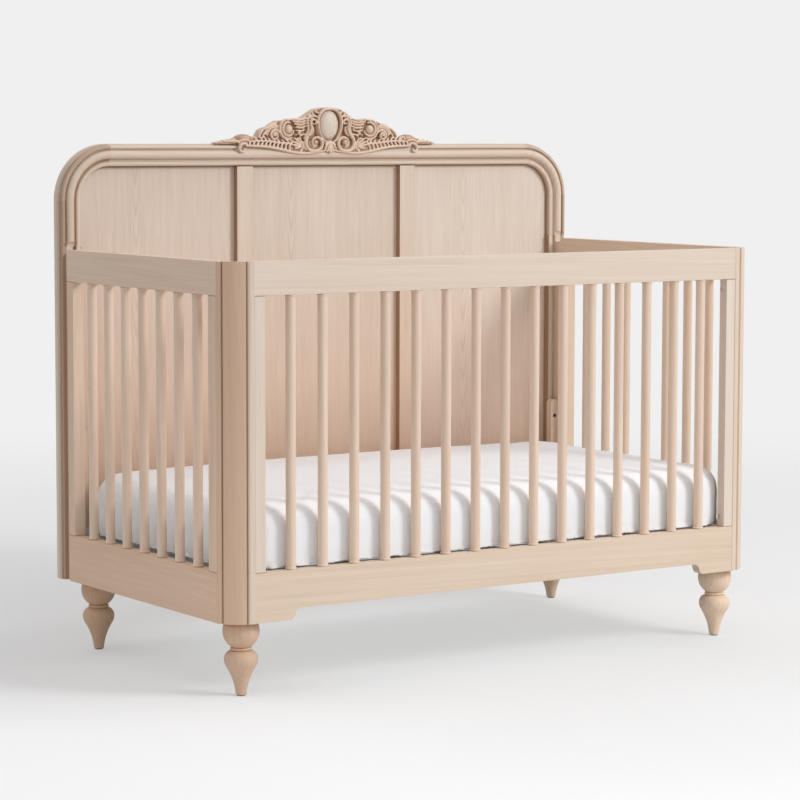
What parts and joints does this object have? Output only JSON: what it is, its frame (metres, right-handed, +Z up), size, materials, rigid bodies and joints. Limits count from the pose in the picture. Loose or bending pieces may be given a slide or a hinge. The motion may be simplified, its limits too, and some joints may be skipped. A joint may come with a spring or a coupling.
{
  "type": "baby crib",
  "caption": "Full-size wooden baby crib with a moulded headboard with rounded corners and a carved crown, spindle sides, turned feet and a mattress.",
  "frame": {"origin": "on the floor, in the middle of the footprint", "axes": "+X along the length to the right seen from the front, +Y from the front frame to the headboard, +Z up"},
  "size_m": [1.408, 0.758, 1.22],
  "materials": {
    "frame_wood": "bleached, matt lacquer",
    "panel_wood": "bleached veneer, matt lacquer",
    "turned_wood": "bleached, matt lacquer",
    "carved_wood": "bleached, antiqued in the hollows",
    "steel": "grey powder coat",
    "zinc": "zinc plated",
    "nylon": "matt",
    "sheet": "woven cotton"
  },
  "bodies": {
    "crib_frame": {"headboard_left_stile": "frame_wood", "headboard_right_stile": "frame_wood", "headboard_left_corner": "frame_wood", "headboard_right_corner": "frame_wood", "headboard_top_rail": "frame_wood", "headboard_bottom_rail": "frame_wood", "headboard_left_mullion": "frame_wood", "headboard_right_mullion": "frame_wood", "left_panel": "panel_wood", "center_panel": "panel_wood", "right_panel": "panel_wood", "crown_carving": "carved_wood", "crown_medallion": "carved_wood", "front_top_rail": "frame_wood", "front_bottom_rail": "frame_wood", "front_left_stile": "frame_wood", "front_right_stile": "frame_wood", "left_corner_post": "frame_wood", "right_corner_post": "frame_wood", "left_end_top_rail": "frame_wood", "left_end_bottom_rail": "frame_wood", "left_end_front_stile": "frame_wood", "left_end_rear_stile": "frame_wood", "right_end_top_rail": "frame_wood", "right_end_bottom_rail": "frame_wood", "right_end_front_stile": "frame_wood", "right_end_rear_stile": "frame_wood", "front_spindles": "frame_wood", "left_end_spindles": "frame_wood", "right_end_spindles": "frame_wood", "front_left_foot": "turned_wood", "front_right_foot": "turned_wood", "rear_left_foot": "turned_wood", "rear_right_foot": "turned_wood", "foot_studs": "zinc", "foot_glides": "nylon", "front_left_foot_block": "frame_wood", "front_right_foot_block": "frame_wood", "rear_left_foot_block": "frame_wood", "rear_right_foot_block": "frame_wood", "front_left_bolt_pad": "frame_wood", "front_right_bolt_pad": "frame_wood", "rear_left_bolt_pad": "frame_wood", "rear_right_bolt_pad": "frame_wood", "support_bolts": "zinc", "support_inserts": "zinc", "front_frame_bolts": "zinc", "front_frame_inserts": "zinc", "headboard_bolts": "zinc", "headboard_inserts": "zinc"},
    "mattress_support": {"front_left_hanger": "steel", "front_right_hanger": "steel", "rear_left_hanger": "steel", "rear_right_hanger": "steel", "support_front_rail": "steel", "support_rear_rail": "steel", "support_left_rail": "steel", "support_right_rail": "steel", "support_slats": "steel"},
    "mattress": {"mattress": "sheet"}
  },
  "joints": [
    {"name": "support_height", "type": "slide", "parent": "crib_frame", "child": "mattress_support", "axis": [0, 0, 1], "range_m": [0, 0.2]},
    {"name": "mattress_lift", "type": "slide", "parent": "mattress_support", "child": "mattress", "axis": [0, 0, 1], "range_m": [0, 0.5]}
  ]
}
